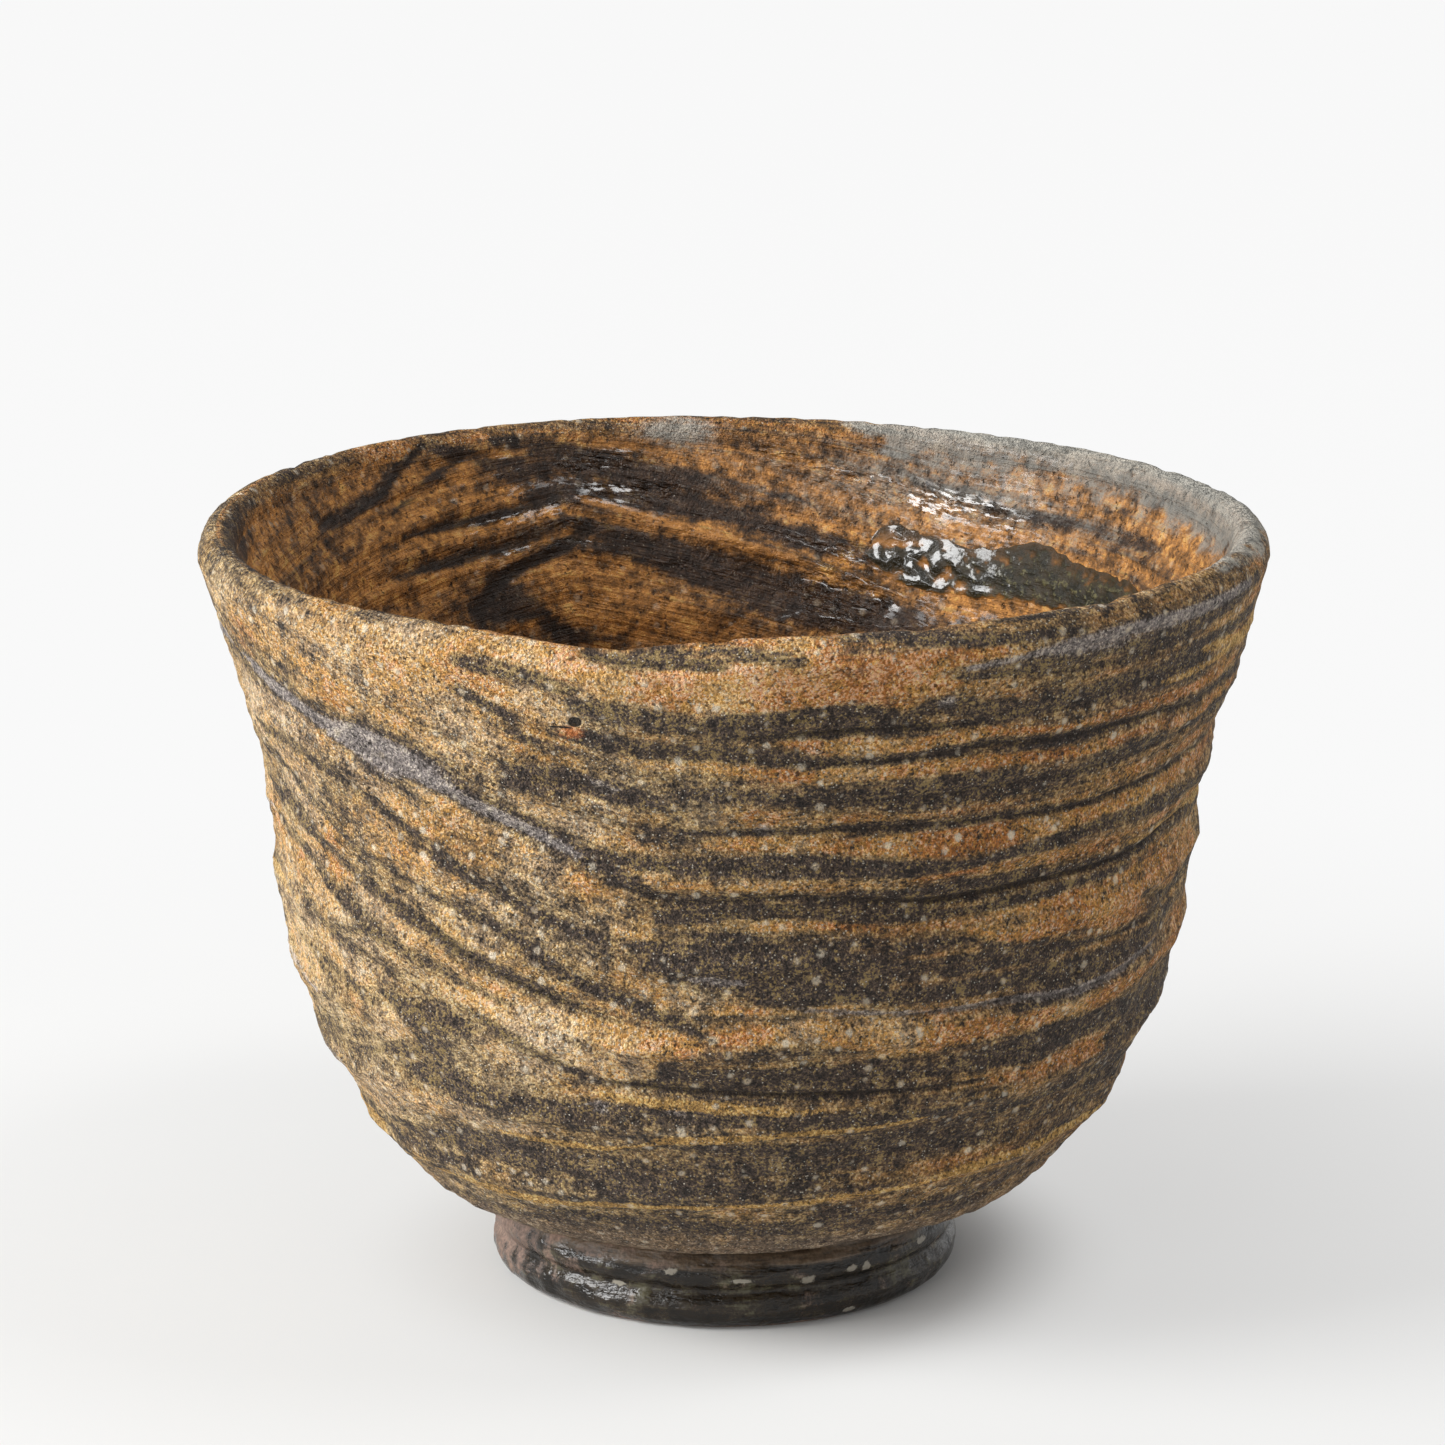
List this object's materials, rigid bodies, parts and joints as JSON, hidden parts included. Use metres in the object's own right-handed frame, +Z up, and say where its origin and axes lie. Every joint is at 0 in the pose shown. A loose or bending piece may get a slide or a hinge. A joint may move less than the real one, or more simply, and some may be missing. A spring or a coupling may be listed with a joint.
{
  "type": "footed cup",
  "caption": "Footed tea cup: a flared, hand-thrown bowl of marbled stoneware luted on a low dark foot ring, with ash glass on the foot and inside the wall.",
  "frame": {"origin": "the bowl's axis at the level of the table that the foot ring stands on", "axes": "+Z up along the bowl's axis, -Y towards the face with the nick in its rim, +X to the right of that face"},
  "size_m": [0.1204, 0.1204, 0.0878],
  "materials": {
    "marbled_clay": "unglazed coarse marbled stoneware, sandy and matte, with a dry sheen inside",
    "slip_clay": "smeared brown slip, matte",
    "foot_clay": "smooth dark stoneware, matte",
    "foot_glass": "olive black ash glaze, glossy with grey-green streaks",
    "run_glass": "thick dark green ash glass, very glossy"
  },
  "bodies": {
    "root": {"bowl": "marbled_clay", "luting_slip": "slip_clay", "foot_ring": "foot_clay", "foot_glaze": "foot_glass", "wall_glaze": "run_glass"}
  },
  "joints": []
}
